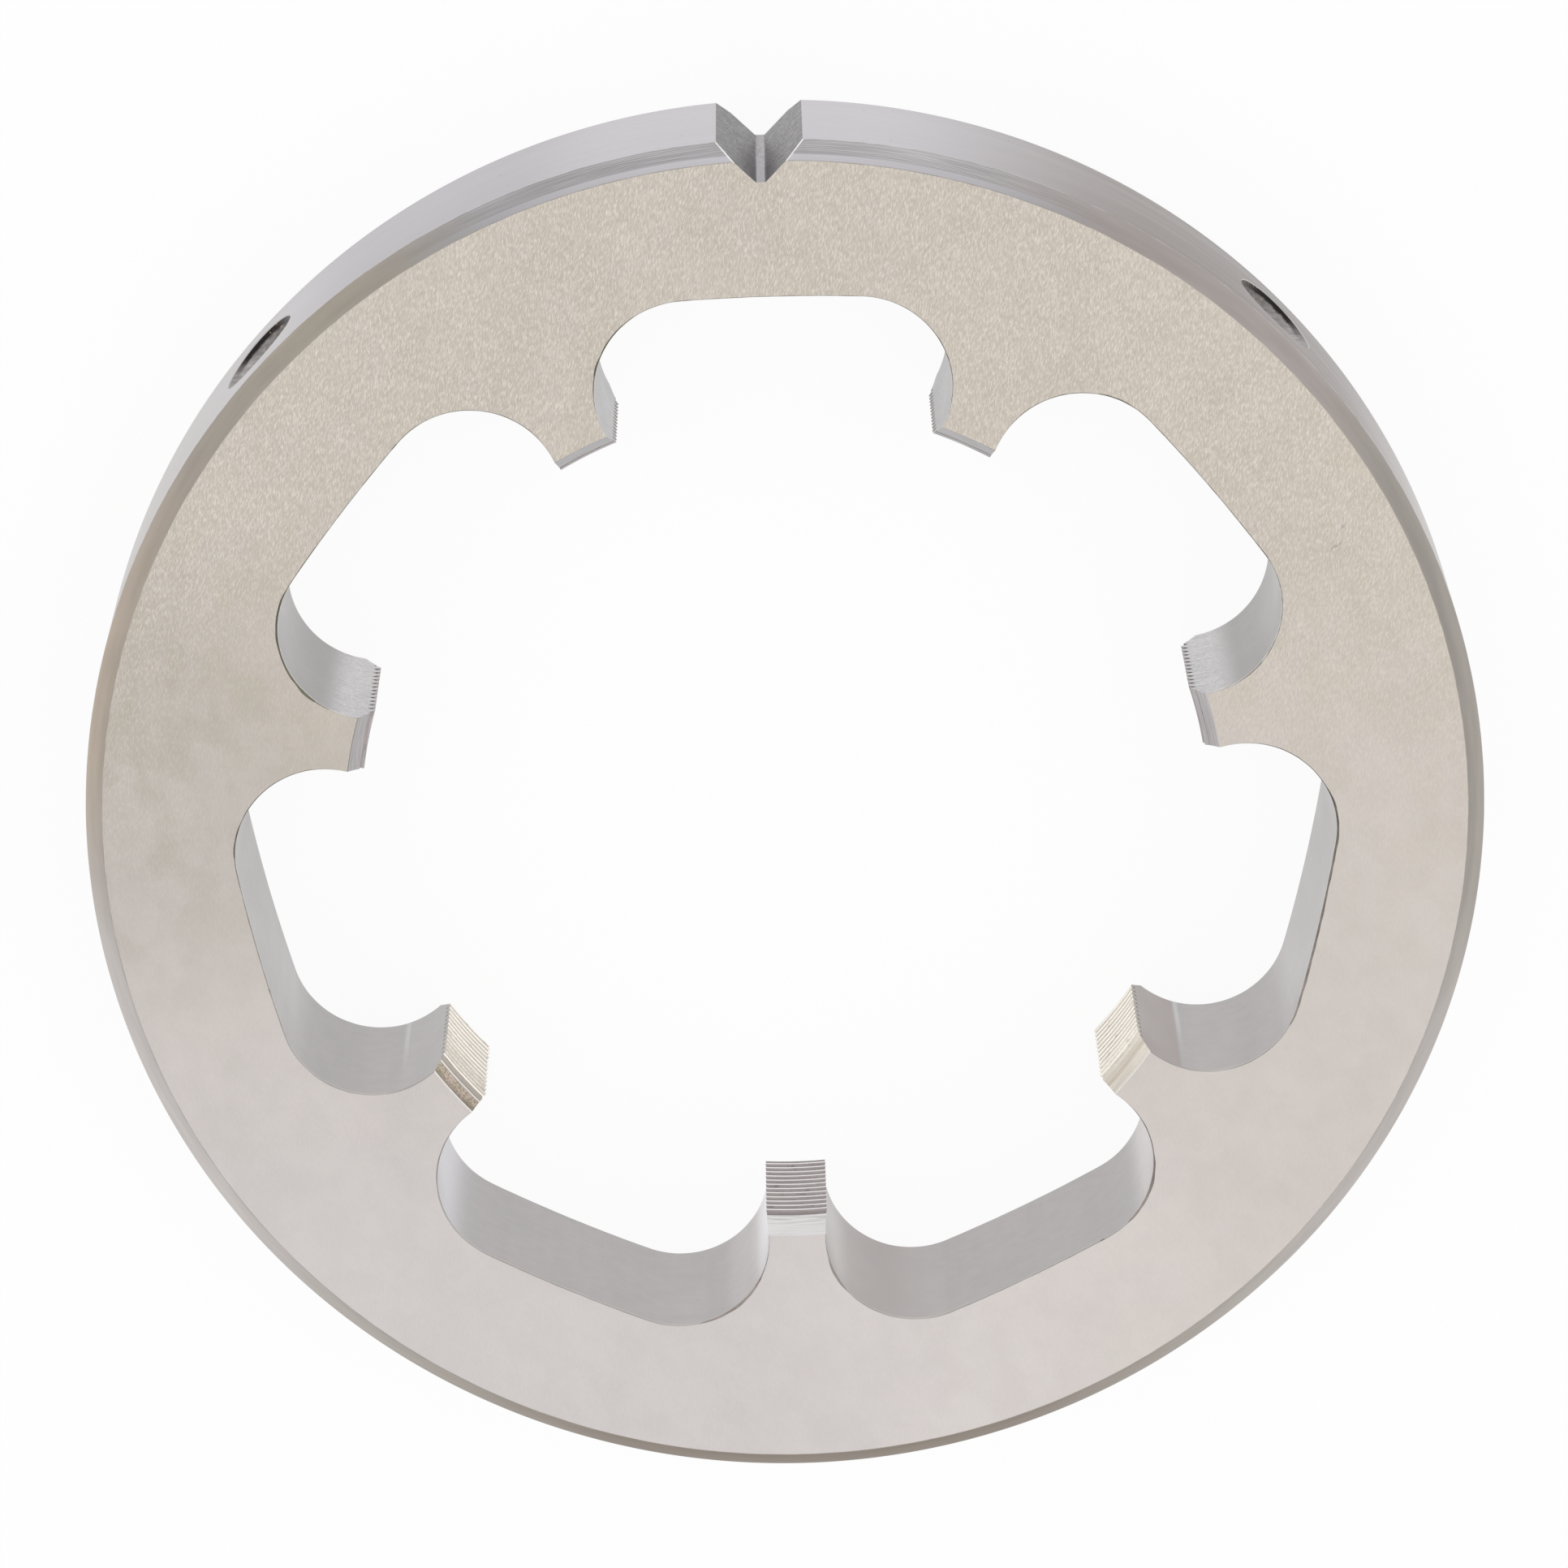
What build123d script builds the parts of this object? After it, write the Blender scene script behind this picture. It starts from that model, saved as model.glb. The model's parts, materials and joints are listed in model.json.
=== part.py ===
from build123d import *

import os
from math import cos, pi, radians, sin, sqrt, tan

# Round threading die, lying on its plain face. All sizes are in millimetres.
# Z is the thread axis and points out of the marked face.
# The rim notch is towards +Y, and the origin is the centre of the plain face.

# Blank
die_diameter = 120.0
die_thickness = 16.75
marked_face_chamfer = 1.5
plain_face_chamfer = 1.25

# Thread: the lands are bored to the crests, and the grooves between them are not cut here
thread_diameter = 74.0
thread_pitch = 1.0
crest_truncation = 1.2269
lead_in_width = 1.4
lead_in_angle = 30.0

# Chip flutes, with a land between each two
flute_count = 7
flute_corner_radius = 7.85
flute_wall_radius = 145.0
flute_turn = -0.54
land_neck_width = 4.94
land_neck_depth = 1.64
flute_edge_break = 0.12

# Splitting notch in the rim
notch_depth = 3.33
notch_floor_width = 0.8
notch_angle = 90.0

# Screw seats drilled in the rim, one on each side of the notch
seat_diameter = 8.5
seat_cone_angle = 90.0
seat_angle = 46.2

# How far each cutter runs past the faces that it opens
overcut = 1.0

# Worked out from the sizes above
die_radius = die_diameter / 2
crest_radius = (thread_diameter - crest_truncation * thread_pitch) / 2
lead_in_length = lead_in_width / tan(radians(lead_in_angle))
half_step = pi / flute_count
neck_radius = crest_radius + land_neck_depth
corner_offset = land_neck_width / 2 + flute_corner_radius
corner_x = neck_radius * sin(half_step) - corner_offset * cos(half_step)
corner_y = neck_radius * cos(half_step) + corner_offset * sin(half_step)


def blank():
    """The ring: chamfered rim outside, crest bore with its two lead-in cones inside."""
    outline = Polyline(
        (crest_radius + lead_in_width, 0),
        (die_radius - plain_face_chamfer, 0),
        (die_radius, plain_face_chamfer),
        (die_radius, die_thickness - marked_face_chamfer),
        (die_radius - marked_face_chamfer, die_thickness),
        (crest_radius + lead_in_width, die_thickness),
        (crest_radius, die_thickness - lead_in_length),
        (crest_radius, lead_in_length),
        close=True,
    )
    section = Plane.XZ * make_face(outline)
    return revolve(section, Axis.Z)


def flute_face(growth):
    """One flute seen along Z: a corner arc beside each land, and the outer wall between them."""
    corner_radius = flute_corner_radius + growth
    wall_radius = flute_wall_radius + growth
    wall_centre_y = corner_y - sqrt((wall_radius - corner_radius) ** 2 - corner_x**2)
    wall_top = wall_centre_y + wall_radius
    toward_tangent = corner_radius / (wall_radius - corner_radius)
    tangent_x = corner_x * (1 + toward_tangent)
    tangent_y = corner_y + (corner_y - wall_centre_y) * toward_tangent
    bottom_y = corner_y - corner_radius
    right_arc = ThreePointArc(
        (tangent_x, tangent_y), (corner_x + corner_radius, corner_y), (corner_x, bottom_y)
    )
    floor_line = Line((corner_x, bottom_y), (-corner_x, bottom_y))
    left_arc = ThreePointArc(
        (-corner_x, bottom_y), (-corner_x - corner_radius, corner_y), (-tangent_x, tangent_y)
    )
    outer_wall = ThreePointArc((-tangent_x, tangent_y), (0, wall_top), (tangent_x, tangent_y))
    return make_face([right_arc, floor_line, left_arc, outer_wall])


def flute_cutter():
    """A straight flute through the die, with its edge broken at both faces."""
    through = extrude(Pos(0, 0, -overcut) * flute_face(0), die_thickness + 2 * overcut)
    low_break = loft(
        [
            Pos(0, 0, 0) * flute_face(flute_edge_break),
            Pos(0, 0, flute_edge_break) * flute_face(0),
        ],
        ruled=True,
    )
    high_break = loft(
        [
            Pos(0, 0, die_thickness - flute_edge_break) * flute_face(0),
            Pos(0, 0, die_thickness) * flute_face(flute_edge_break),
        ],
        ruled=True,
    )
    return through + low_break + high_break


def notch_cutter():
    """The straight V notch in the rim, with its narrow flat floor."""
    floor_y = die_radius - notch_depth
    half_floor = notch_floor_width / 2
    half_mouth = half_floor + (notch_depth + overcut) * tan(radians(notch_angle / 2))
    outline = Polyline(
        (-half_floor, floor_y),
        (half_floor, floor_y),
        (half_mouth, die_radius + overcut),
        (-half_mouth, die_radius + overcut),
        close=True,
    )
    return extrude(Pos(0, 0, -overcut) * make_face(outline), die_thickness + 2 * overcut)


def seat_cutter(angle):
    """One conical screw seat, drilled square to the rim at half the die's thickness."""
    slope = tan(radians(seat_cone_angle / 2))
    seat_radius = seat_diameter / 2
    outline = Polyline(
        (0, die_radius - seat_radius / slope),
        (seat_radius + overcut * slope, die_radius + overcut),
        (0, die_radius + overcut),
        close=True,
    )
    cone = revolve(make_face(outline), Axis.Y)
    return Rot(0, 0, -angle) * Pos(0, 0, die_thickness / 2) * cone


def round_die():
    die = blank()
    for index in range(flute_count):
        die -= Rot(0, 0, flute_turn + index * 360 / flute_count) * flute_cutter()
    die -= notch_cutter()
    for side in (-1, 1):
        die -= seat_cutter(side * seat_angle)
    return die


os.makedirs("parts", exist_ok=True)
export_step(round_die(), "parts/round_die.step")
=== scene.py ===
import json
from math import atan2, ceil, cos, degrees, pi, radians, sin, sqrt, tan

import bmesh
import bpy
import numpy as np
from mathutils import Matrix, Vector


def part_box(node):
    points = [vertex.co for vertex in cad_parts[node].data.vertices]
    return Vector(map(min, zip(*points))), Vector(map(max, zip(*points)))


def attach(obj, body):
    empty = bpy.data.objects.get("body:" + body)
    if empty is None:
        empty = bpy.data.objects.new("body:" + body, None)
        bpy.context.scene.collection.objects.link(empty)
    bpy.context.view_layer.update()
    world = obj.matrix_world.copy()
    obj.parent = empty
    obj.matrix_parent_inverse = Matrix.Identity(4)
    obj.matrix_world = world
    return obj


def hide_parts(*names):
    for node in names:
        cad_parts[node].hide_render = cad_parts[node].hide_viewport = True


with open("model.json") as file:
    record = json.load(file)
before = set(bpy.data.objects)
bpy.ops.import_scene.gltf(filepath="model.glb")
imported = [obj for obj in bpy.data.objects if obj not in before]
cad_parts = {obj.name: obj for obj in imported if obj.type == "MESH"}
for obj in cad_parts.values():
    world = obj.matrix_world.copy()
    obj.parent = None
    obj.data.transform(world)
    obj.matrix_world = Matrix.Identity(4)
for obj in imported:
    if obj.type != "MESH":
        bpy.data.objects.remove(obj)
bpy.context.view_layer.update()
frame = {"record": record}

# Round threading die. Sizes are in millimetres until a piece is finished, and MM brings them to metres.
# The frame gives the blank, the thread's crests, the notch floor and the screw seats.
MM = 0.001
die_low, die_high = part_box("round_die")
mounts = {mount["name"]: mount for mount in frame["record"]["mounts"]}
die_radius = mounts["rim"]["dims"]["r_mm"]
die_thickness = (die_high.z - die_low.z) / MM
crest_radius = mounts["thread"]["dims"]["r_mm"]
notch_floor_y = mounts["notch"]["pos_m"][1] / MM
seat_angles = [
    degrees(atan2(mounts[name]["pos_m"][0], mounts[name]["pos_m"][1]))
    for name in ("seat_right", "seat_left")
]

marked_face_chamfer = 1.5
plain_face_chamfer = 1.25
rim_corner_ease = 0.09
ring_segments = 720

thread_pitch = 1.0
thread_root_radius = 37.0
thread_flank_angle = 30.0
thread_steps_per_turn = 720
thread_phase = 0.04
thread_overreach = 0.2
thread_turns_above = 1.5
thread_spare_turns = 3
lead_in_width = 1.4
lead_in_angle = 30.0

flute_count = 7
flute_corner_radius = 7.85
flute_wall_radius = 145.0
flute_turn = -0.54
land_neck_width = 4.94
land_neck_depth = 1.64
flute_edge_break = 0.09
# A narrow band at the top of each flute's wall, coloured with a painted highlight
flute_bevel_width = 0.05
flute_corner_segments = 120
flute_wall_segments = 80

# Where the file went deeper round each flute: middle and half length in degrees of its corner arcs,
# from the middle of the wall and minus on the left, and width
filed_runs = [
    [(-52, 26, 0.14), (-70, 9, 0.17)],
    [(-32, 30, 0.2), (-60, 18, 0.15), (-80, 10, 0.22)],
    [(22, 16, 0.16)],
    [(-62, 30, 0.2)],
    [(-42, 30, 0.22), (85, 16, 0.16)],
    [(-12, 30, 0.2)],
    [(-27, 16, 0.15)],
]

# A flute's corner arc runs from 0 degrees by the wall to 180 by the land. From land_arc_start on, the edge
# break narrows over land_arc_reach degrees by land_break_loss of its width. Waves along it make it uneven,
# and from filed_from times the plain width on it counts as filed.
land_arc_start = 88.0
land_arc_reach = 20.0
land_break_loss = 0.8
filing_waves = (5, 11, 19, 37)
filing_unevenness = 0.25
filing_seed = 7
filed_from = 1.2

notch_floor_width = 0.8
notch_angle = 90.0
notch_root_ease = 0.15
notch_bevel = 0.09
bevel_overreach = 0.3
crossing_rounds = 8

seat_diameter = 8.5
seat_cone_angle = 90.0
seat_tip = 0.02
seat_segments = 120

overcut = 1.0
sharp_angle = 9.0
merge_reach = 0.0002

lead_in_length = lead_in_width / tan(radians(lead_in_angle))


# Metals. Lengths in their nodes are in millimetres of the object's own coordinates
class Metal:
    """One metal's nodes, with a short call for each kind."""

    def __init__(self, name):
        self.material = bpy.data.materials.new(name)
        self.material.use_nodes = True
        self.tree = self.material.node_tree
        self.shader = self.tree.nodes["Principled BSDF"]
        self.shader.inputs["Metallic"].default_value = 1
        place = self.add("VectorMath", operation="SCALE")
        self.feed(place.inputs[0], self.add("TexCoord").outputs["Object"])
        place.inputs["Scale"].default_value = 1 / MM
        self.place = place.outputs[0]
        parts = self.add("SeparateXYZ")
        self.feed(parts.inputs[0], self.place)
        self.x, self.y, self.z = parts.outputs

    def add(self, kind, **settings):
        """A new shader node of this kind."""
        node = self.tree.nodes.new("ShaderNode" + kind)
        for key, value in settings.items():
            setattr(node, key, value)
        return node

    def feed(self, socket, value):
        """Gives a socket another node's output, a number or a colour."""
        if isinstance(value, bpy.types.NodeSocket):
            self.tree.links.new(value, socket)
        elif isinstance(value, tuple) and socket.type == "RGBA":
            socket.default_value = (*value, 1)
        else:
            socket.default_value = value

    def maths(self, operation, *values):
        """One step of arithmetic on numbers."""
        node = self.add("Math", operation=operation)
        for socket, value in zip(node.inputs, values):
            self.feed(socket, value)
        return node.outputs[0]

    def product(self, *values):
        """Numbers multiplied."""
        result = values[0]
        for value in values[1:]:
            result = self.maths("MULTIPLY", result, value)
        return result

    def total(self, *values):
        """Numbers added."""
        result = values[0]
        for value in values[1:]:
            result = self.maths("ADD", result, value)
        return result

    def rise(self, value, low, high, bottom=0.0, top=1.0):
        """Goes smoothly from bottom to top while value goes from low to high."""
        node = self.add("MapRange", interpolation_type="SMOOTHSTEP")
        for socket, item in zip(node.inputs, (value, low, high, bottom, top)):
            self.feed(socket, item)
        return node.outputs[0]

    def blend(self, share, one, other):
        """One colour where share is 0, and the other where it is 1."""
        node = self.add("Mix", data_type="RGBA")
        for index, item in ((0, share), (6, one), (7, other)):
            self.feed(node.inputs[index], item)
        return node.outputs[2]

    def shaded(self, colour, factor):
        """A colour times a number."""
        node = self.add("VectorMath", operation="SCALE")
        self.feed(node.inputs[0], colour)
        self.feed(node.inputs["Scale"], factor)
        return node.outputs[0]

    def grain(self, size, turn=0.0, detail=2.0):
        """Noise around a half with grains of this size (x, y, z), turned about Z by degrees."""
        node = self.add("Mapping", vector_type="TEXTURE")
        self.feed(node.inputs["Vector"], self.place)
        node.inputs["Rotation"].default_value = (0, 0, radians(turn))
        node.inputs["Scale"].default_value = size
        noise = self.add("TexNoise")
        self.feed(noise.inputs["Vector"], node.outputs[0])
        noise.inputs["Scale"].default_value = 1
        noise.inputs["Detail"].default_value = detail
        return noise.outputs["Fac"]

    def ramp(self, value, *stops):
        """Colours blended in a row while value grows. Each stop is a value and its colour."""
        low, high = stops[0][0], stops[-1][0]
        node = self.add("ValToRGB")
        self.feed(node.inputs[0], self.maths("DIVIDE", self.maths("SUBTRACT", value, low), high - low))
        row = node.color_ramp.elements
        row.remove(row[1])
        row[0].color = (*stops[0][1], 1)
        for place, colour in stops[1:]:
            row.new((place - low) / (high - low)).color = (*colour, 1)
        return node.outputs[0]

    def distance(self, across, along):
        """How far a step across and along leads."""
        return self.maths("SQRT", self.total(self.product(across, across), self.product(along, along)))

    def radius(self):
        """The distance from the die's axis."""
        return self.distance(self.x, self.y)

    def near(self, x, y, inner, outer):
        """One within inner of the upright line through x, y, and none beyond outer."""
        step = self.distance(self.maths("SUBTRACT", self.x, x), self.maths("SUBTRACT", self.y, y))
        return self.rise(step, outer, inner)

    def lit(self, colour, x, y, inner, outer, light):
        """A colour times light within inner of the upright line through x, y, and unchanged beyond outer."""
        return self.shaded(colour, self.rise(self.near(x, y, inner, outer), 0, 1, 1, light))

    def scratch(self, x, y, angle, length, width):
        """One on a fine wandering line through x, y at an angle in degrees from X."""
        turn = radians(angle)
        beside = self.product(self.maths("SUBTRACT", self.x, x), -sin(turn))
        above = self.product(self.maths("SUBTRACT", self.y, y), cos(turn))
        wander = self.product(self.maths("SUBTRACT", self.grain((0.6, 0.6, 0.6)), 0.5), 0.8)
        off = self.maths("ABSOLUTE", self.total(beside, above, wander))
        return self.product(self.rise(off, width, width / 2), self.near(x, y, length * 0.35, length / 2))

    def made(self, colour, roughness, height=None, depth=0.002):
        """Ends the metal. height from 0 to 1 is relief of this depth in millimetres."""
        self.feed(self.shader.inputs["Base Color"], colour)
        self.feed(self.shader.inputs["Roughness"], roughness)
        if height is not None:
            bump = self.add("Bump")
            bump.inputs["Distance"].default_value = depth * MM
            self.feed(bump.inputs["Height"], height)
            self.feed(self.shader.inputs["Normal"], bump.outputs[0])
        return self.material


# Darker and lighter places on the ground face, by the rim on the left and in the lower right: x, y, the
# distances at which the shade is full and ends, and its factor
face_shades = [
    (-58, 6, 5, 31, 0.86),
    (20, -50, 5, 30, 1.07),
]

# The one nick of the marked face and the scratch beside it
nick_place = (48.05, 24.9)
scratch_place = (47.5, 23.2)


def ground_metal(name, dents):
    """A surface-ground face: short streaks one way, warmer and coarser towards the notch. dents is the
    strength of its nick and scratch."""
    metal = Metal(name)
    left = metal.blend(metal.rise(metal.y, -42, 20), (0.66, 0.62, 0.61), (0.6, 0.545, 0.475))
    right = metal.blend(metal.rise(metal.y, -25, 25), (0.66, 0.61, 0.57), (0.615, 0.555, 0.482))
    colour = metal.blend(metal.rise(metal.x, -10, 55), left, right)
    for shade in face_shades:
        colour = metal.lit(colour, *shade)
    cloud = metal.grain((9, 14, 9), detail=3)
    colour = metal.blend(metal.rise(cloud, 0.35, 0.65), metal.shaded(colour, 0.97), colour)
    pinkest = metal.rise(metal.y, 0, 40, 0.3, 0.15)
    pink = metal.rise(metal.grain((3, 4, 3), detail=3), 0.38, 0.62, 0, pinkest)
    colour = metal.blend(pink, colour, (0.66, 0.607, 0.595))
    mottle = metal.grain((2.2, 2.8, 2), turn=40, detail=3)
    colour = metal.shaded(colour, metal.rise(mottle, 0.35, 0.65, 0.985, 1.012))

    fine = metal.grain((0.095, 0.5, 1), turn=-8, detail=1)
    slanted = metal.grain((0.095, 0.42, 1), turn=-20, detail=1)
    streak = metal.maths("MAXIMUM", metal.rise(fine, 0.5, 0.74), metal.rise(slanted, 0.52, 0.76))
    valley = metal.maths("MAXIMUM", metal.rise(slanted, 0.48, 0.28), metal.rise(fine, 0.46, 0.26))
    patch = metal.rise(metal.grain((1.8, 2.4, 2)), 0.3, 0.7, 0.82, 1)
    smoother_left = metal.rise(metal.near(-41, 9, 5, 20), 0, 1, 1, 0.5)
    coarse = metal.product(metal.rise(metal.y, -14, 38, 0.12, 1), smoother_left)
    colour = metal.blend(metal.product(streak, patch, coarse, 0.42), colour, (0.98, 0.92, 0.82))
    colour = metal.blend(metal.product(valley, coarse, 0.27), colour, (0.36, 0.325, 0.27))

    nick = metal.near(*nick_place, 0.06, 0.2)
    scratch = metal.scratch(*scratch_place, angle=42, length=1.5, width=0.06)
    dent = metal.product(metal.maths("MAXIMUM", nick, scratch), dents)
    colour = metal.blend(dent, colour, (0.3, 0.285, 0.26))
    height = metal.total(metal.product(fine, 0.6), metal.product(slanted, 0.4))
    return metal.made(colour, metal.rise(streak, 0, 1, 0.36, 0.3), height, 0.003)


def turned_metal(name, colour, side_colour, line_height, line_strength, specks):
    """A turned surface: fine lines round the axis, greyer away from the notch, with a brown painted shade
    round the right seat and a painted shade left of the notch."""
    metal = Metal(name)
    tint = metal.blend(metal.rise(metal.y, 20, 57), side_colour, colour)
    # A brown painted shade round the right seat, and a painted shade left of the notch
    tint = metal.blend(metal.near(39.4, 45.3, 8, 34), tint, (0.27, 0.232, 0.22))
    tint = metal.lit(tint, -28, 53, 4, 20, 0.84)
    line = metal.grain((9, 9, line_height), detail=3)
    wide = metal.grain((16, 16, 1.6))
    tint = metal.shaded(tint, metal.rise(line, 0.3, 0.7, 1 - line_strength, 1 + line_strength))
    tint = metal.shaded(tint, metal.rise(wide, 0.3, 0.7, 0.96, 1.03))
    speck = metal.rise(metal.grain((0.35, 0.35, 0.25), detail=0), 0.84, 0.87)
    tint = metal.blend(metal.product(speck, specks), tint, (0.16, 0.15, 0.15))
    return metal.made(tint, metal.rise(wide, 0.3, 0.7, 0.3, 0.36), line, 0.001)


# Painted light and shade round the marked face's chamfer, on the left, upper right, upper left, lower left
# and lower right, and a dark painted reflection opposite the notch: x, y, the distances at which the tone is
# full and ends, the tone and its share
painted_chamfer_light = [
    (-57, 15, 4, 34, (0.54, 0.465, 0.39), 1),
    (38, 46, 5, 26, (0.53, 0.475, 0.455), 1),
    (-38, 46, 3, 18, (0.5, 0.45, 0.385), 1),
    (-54, -22, 8, 32, (0.6, 0.56, 0.54), 1),
    (52, -30, 6, 26, (0.58, 0.54, 0.525), 0.6),
    (0, -60, 12, 44, (0.255, 0.21, 0.172), 1),
]
tool_line_pitch = 0.125


def chamfer_metal():
    """The marked face's chamfer. Near the notch it has a band of tool lines and a smooth one beside the
    face, and elsewhere it is plain, lighter on some sides and darker on others as painted light and shade."""
    metal = Metal("turned_chamfer")
    colour = metal.blend(metal.rise(metal.y, 40, 59), (0.43, 0.395, 0.36), (0.5, 0.485, 0.495))
    for x, y, inner, outer, tone, share in painted_chamfer_light:
        colour = metal.blend(metal.product(metal.near(x, y, inner, outer), share), colour, tone)
    # Painted shade by the notch
    colour = metal.lit(colour, -6, 59, 6, 24, 0.83)
    cloud = metal.grain((6, 6, 0.5), detail=3)
    colour = metal.shaded(colour, metal.rise(cloud, 0.3, 0.7, 0.96, 1.04))

    level = metal.maths("SUBTRACT", metal.z, die_thickness - marked_face_chamfer)
    by_notch = metal.rise(metal.y, 50, 57)
    ripple = metal.maths("SINE", metal.product(level, 2 * pi / tool_line_pitch))
    wander = metal.grain((5, 5, 0.1), detail=3)
    wavering = metal.total(ripple, metal.product(wander, 3), -1.5)
    lined = metal.product(metal.rise(level, 0.06, 0.16), metal.rise(level, 1.12, 0.9), by_notch)
    light_line = metal.product(metal.rise(wavering, 0.3, 1.2), lined)
    dark_line = metal.product(metal.rise(wavering, -0.6, -1.3), lined)
    tint = metal.blend(metal.product(light_line, 0.6), colour, metal.shaded(colour, 1.5))
    tint = metal.blend(metal.product(dark_line, 0.6), tint, metal.shaded(colour, 0.62))
    smooth = metal.product(metal.rise(level, 0.95, 1.1), by_notch)
    tint = metal.blend(smooth, tint, (0.62, 0.6, 0.63))
    height = metal.product(wavering, by_notch)
    return metal.made(tint, metal.rise(light_line, 0, 1, 0.34, 0.28), height, 0.002)


def edge_metal(name, colour, other, roughness, far_colour=None):
    """A narrow broken edge, partly bright and partly dull. Away from the notch it may be plainer."""
    metal = Metal(name)
    share = metal.rise(metal.grain((1.6, 1.6, 3), detail=4), 0.4, 0.6)
    tint = metal.blend(share, colour, other)
    if far_colour:
        tint = metal.blend(metal.rise(metal.y, 8, -22), tint, far_colour)
    return metal.made(tint, roughness)


def flute_edge_metal():
    """The hand-filed break round a flute: dull olive towards the notch, brown-grey away from it."""
    metal = Metal("flute_edge")
    share = metal.rise(metal.grain((1.2, 1.2, 3), detail=4), 0.3, 0.7, 0.8, 1.15)
    tint = metal.blend(metal.rise(metal.y, -25, 12), (0.47, 0.41, 0.38), (0.26, 0.245, 0.19))
    by_land = metal.rise(metal.radius(), crest_radius + 5, crest_radius + 3)
    tint = metal.blend(by_land, metal.shaded(tint, share), (0.72, 0.7, 0.68))
    return metal.made(tint, 0.34)


# Painted light in spots on the flutes' walls, left of the land opposite the notch, by the land in the lower
# left
# and in the lower right: x, y, the distances at which the light is full and ends, and its factor
flute_lights = [
    (-4.5, -42.6, 1, 4.5, 1.16),
    (-32.1, -22, 1, 3.5, 1.1),
    (31.2, -33.4, 1, 4.5, 1.06),
]

# The middle of the right straw-coloured land's tip. The left land is its mirror image
straw_land_middle = (29, -23)


def flute_metal():
    """A milled and polished flute wall, with a strip by each land where the cutting face is ground, darker
    by the lands towards the notch as painted shade, and with painted light and shade all over.
    """
    metal = Metal("flute_wall")
    band = metal.grain((0.9, 0.9, 60), detail=3)
    broad = metal.grain((5, 5, 9), detail=2)
    blotch = metal.grain((1.5, 1.5, 1), detail=4)
    colour = metal.blend(metal.rise(broad, 0.35, 0.65), (0.445, 0.423, 0.42), (0.48, 0.458, 0.45))
    colour = metal.shaded(colour, metal.rise(band, 0.3, 0.7, 0.992, 1.01))
    colour = metal.shaded(colour, metal.rise(blotch, 0.3, 0.7, 0.975, 1.02))
    colour = flute_shade(metal, colour)

    outward = metal.maths("ABSOLUTE", metal.x)
    strip = metal.rise(metal.radius(), crest_radius + 5, crest_radius + 2.2)
    line = metal.grain((1.6, 1.6, 0.09), detail=4)
    scuff = metal.grain((0.3, 0.3, 0.12), detail=5)
    rough = metal.rise(metal.total(metal.product(line, 0.5), metal.product(scuff, 0.5)), 0.38, 0.62)
    by_side_land = metal.product(strip, metal.rise(outward, 24, 28), metal.rise(metal.y, -8, -2))
    colour = metal.blend(by_side_land, colour, metal.blend(rough, (0.46, 0.45, 0.46), (0.7, 0.68, 0.68)))
    # By the lands towards the notch the strip is darker: a painted shade over its ground streaks
    by_top_land = metal.product(strip, metal.rise(metal.y, 22, 28))
    colour = metal.blend(by_top_land, colour, metal.blend(rough, (0.4, 0.39, 0.39), (0.54, 0.53, 0.53)))
    colour = low_land_strip_highlights(metal, colour, outward)
    colour = straw_land_bands(metal, colour, outward)
    speck = metal.rise(metal.grain((0.25, 0.25, 0.3), detail=0), 0.84, 0.87)
    colour = metal.blend(metal.product(speck, 0.5), colour, (0.25, 0.24, 0.24))
    height = metal.total(metal.product(band, 0.1), metal.product(rough, by_side_land))
    return metal.made(colour, metal.rise(broad, 0.3, 0.7, 0.3, 0.36), height, 0.002)


def flute_shade(metal, colour):
    """A flute wall's painted light and shade: darker where it leans sideways, lighter where it faces
    sideways, darker on the left, lighter in a few spots and bluish in the lower left.
    """
    facing = metal.add("SeparateXYZ")
    metal.feed(facing.inputs[0], metal.add("TexCoord").outputs["Normal"])
    sideways = metal.maths("ABSOLUTE", facing.outputs[0])
    leaning_shade = metal.rise(metal.y, -20, 10, 0.93, 0.8)
    colour = metal.shaded(colour, metal.rise(sideways, 0, 0.55, 1, leaning_shade))
    sideways_light = metal.rise(metal.y, -34, -12, 1.45, 1.12)
    colour = metal.shaded(colour, metal.rise(sideways, 0.75, 1, 1, sideways_light))
    on_left = metal.product(metal.rise(metal.x, -10, -30), metal.rise(metal.y, -30, -15))
    colour = metal.shaded(colour, metal.rise(on_left, 0, 1, 1, 0.94))
    for light in flute_lights:
        colour = metal.lit(colour, *light)
    bluish = metal.product(metal.near(-31.2, -33.4, 1, 5), 0.3)
    return metal.blend(bluish, colour, (0.72, 0.74, 0.84))


def low_land_strip_highlights(metal, colour, outward):
    """The ground strips beside the land opposite the notch, in painted highlights: white on its left, and on
    its right grey, lighter by the thread, with a browner wall beyond."""
    colour = metal.blend(metal.near(6.5, -41, 3, 8), colour, (0.41, 0.375, 0.365))
    by_low_land = metal.product(metal.rise(outward, 4.2, 2.7), metal.rise(metal.y, -30, -34))
    low_right = metal.blend(metal.rise(metal.radius(), 39.2, 37.6), (0.51, 0.485, 0.47), (0.72, 0.7, 0.72))
    # White on the left and light grey on the right: painted highlights
    low_tint = metal.blend(metal.rise(metal.x, -1, 1), (0.9, 0.89, 0.92), low_right)
    return metal.blend(by_low_land, colour, low_tint)


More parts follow.
